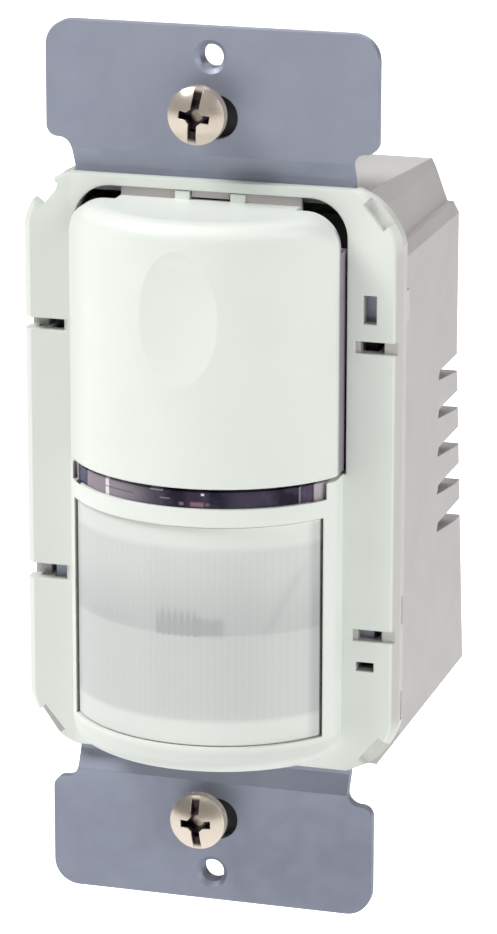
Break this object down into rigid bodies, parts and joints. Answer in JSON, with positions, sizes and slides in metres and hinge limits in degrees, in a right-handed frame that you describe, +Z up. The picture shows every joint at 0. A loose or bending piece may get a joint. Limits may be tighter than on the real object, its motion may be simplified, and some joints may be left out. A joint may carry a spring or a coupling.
{
  "type": "motion sensor light switch",
  "caption": "Wall box light switch with a motion sensor: metal strap, domed push button, smoked indicator strip, lens window and deep vented housing with circuit boards inside.",
  "frame": {"origin": "midway between the two cover plate screw holes, on the plane of the wall (the rear face of the strap's ears)", "axes": "+Z up along the strap, -Y out of the wall towards the user, +X to the right as the user faces the switch"},
  "size_m": [0.0448, 0.0453, 0.1036],
  "materials": {
    "strap_steel": "satin",
    "plated_steel": "polished",
    "black_fibre": "matte",
    "cover_plastic": "satin",
    "smoked_plastic": "gloss",
    "lens_plastic": "satin",
    "black_plastic": "matte",
    "housing_plastic": "satin",
    "board_laminate": "satin",
    "grey_plastic": "matte",
    "blue_plastic": "satin",
    "rotor_plastic": "satin",
    "bright_steel": "polished",
    "dark_glass": "polished",
    "tinned_wire": "bright",
    "lamp_plastic": "gloss",
    "photocell_face": "gloss",
    "relay_plastic": "satin",
    "capacitor_sleeve": "gloss",
    "film_case": "satin",
    "ferrite": "matte",
    "copper_wire": "enamelled",
    "varistor_coat": "satin",
    "fuse_body": "gloss",
    "diode_body": "satin"
  },
  "bodies": {
    "base": {"board_screws": "plated_steel", "can_capacitors": "capacitor_sleeve", "choke_core": "ferrite", "choke_winding": "copper_wire", "component_leads": "tinned_wire", "control_board": "board_laminate", "control_chip": "black_plastic", "diodes": "diode_body", "fibre_washers": "black_fibre", "film_capacitor": "film_case", "fresnel_lens": "lens_plastic", "front_cover": "cover_plastic", "fuse": "fuse_body", "header_contacts": "tinned_wire", "header_strips": "black_plastic", "indicator_window": "smoked_plastic", "inner_frame": "black_plastic", "mounting_screws": "plated_steel", "mounting_strap": "strap_steel", "photocell": "photocell_face", "power_board": "board_laminate", "rear_housing": "housing_plastic", "relay": "relay_plastic", "sensor_can": "bright_steel", "sensor_spacer": "black_plastic", "sensor_window": "dark_glass", "status_lamp": "lamp_plastic", "tact_switch": "black_plastic", "trimmer_bodies": "blue_plastic", "varistor": "varistor_coat", "wire_terminals": "tinned_wire"},
    "button": {"push_button": "cover_plastic"},
    "plunger": {"tact_plunger": "grey_plastic"},
    "time_trimmer": {"time_rotor": "rotor_plastic"},
    "light_trimmer": {"light_rotor": "rotor_plastic"},
    "range_trimmer": {"range_rotor": "rotor_plastic"}
  },
  "joints": [
    {"name": "button_press", "type": "hinge", "parent": "base", "child": "button", "pos_m": [0, -0.00045, 0.03355], "axis": [1, 0, 0], "range_deg": [0, 1.5], "stiffness_Nm_per_rad": 0.3, "springref_deg": -1.72},
    {"name": "plunger_press", "type": "slide", "parent": "base", "child": "plunger", "axis": [0, 1, 0], "range_m": [0, 0.00036]},
    {"name": "time_turn", "type": "hinge", "parent": "base", "child": "time_trimmer", "pos_m": [-0.0095, 0.0004, 0.009], "axis": [0, -1, 0], "range_deg": [-135, 135]},
    {"name": "light_turn", "type": "hinge", "parent": "base", "child": "light_trimmer", "pos_m": [0, 0.0004, 0.009], "axis": [0, -1, 0], "range_deg": [-135, 135]},
    {"name": "range_turn", "type": "hinge", "parent": "base", "child": "range_trimmer", "pos_m": [0.0095, 0.0004, 0.009], "axis": [0, -1, 0], "range_deg": [-135, 135]}
  ],
  "couplings": [
    {"joint": "plunger_press", "follows": "button_press", "m_per_rad": 0.01355}
  ]
}
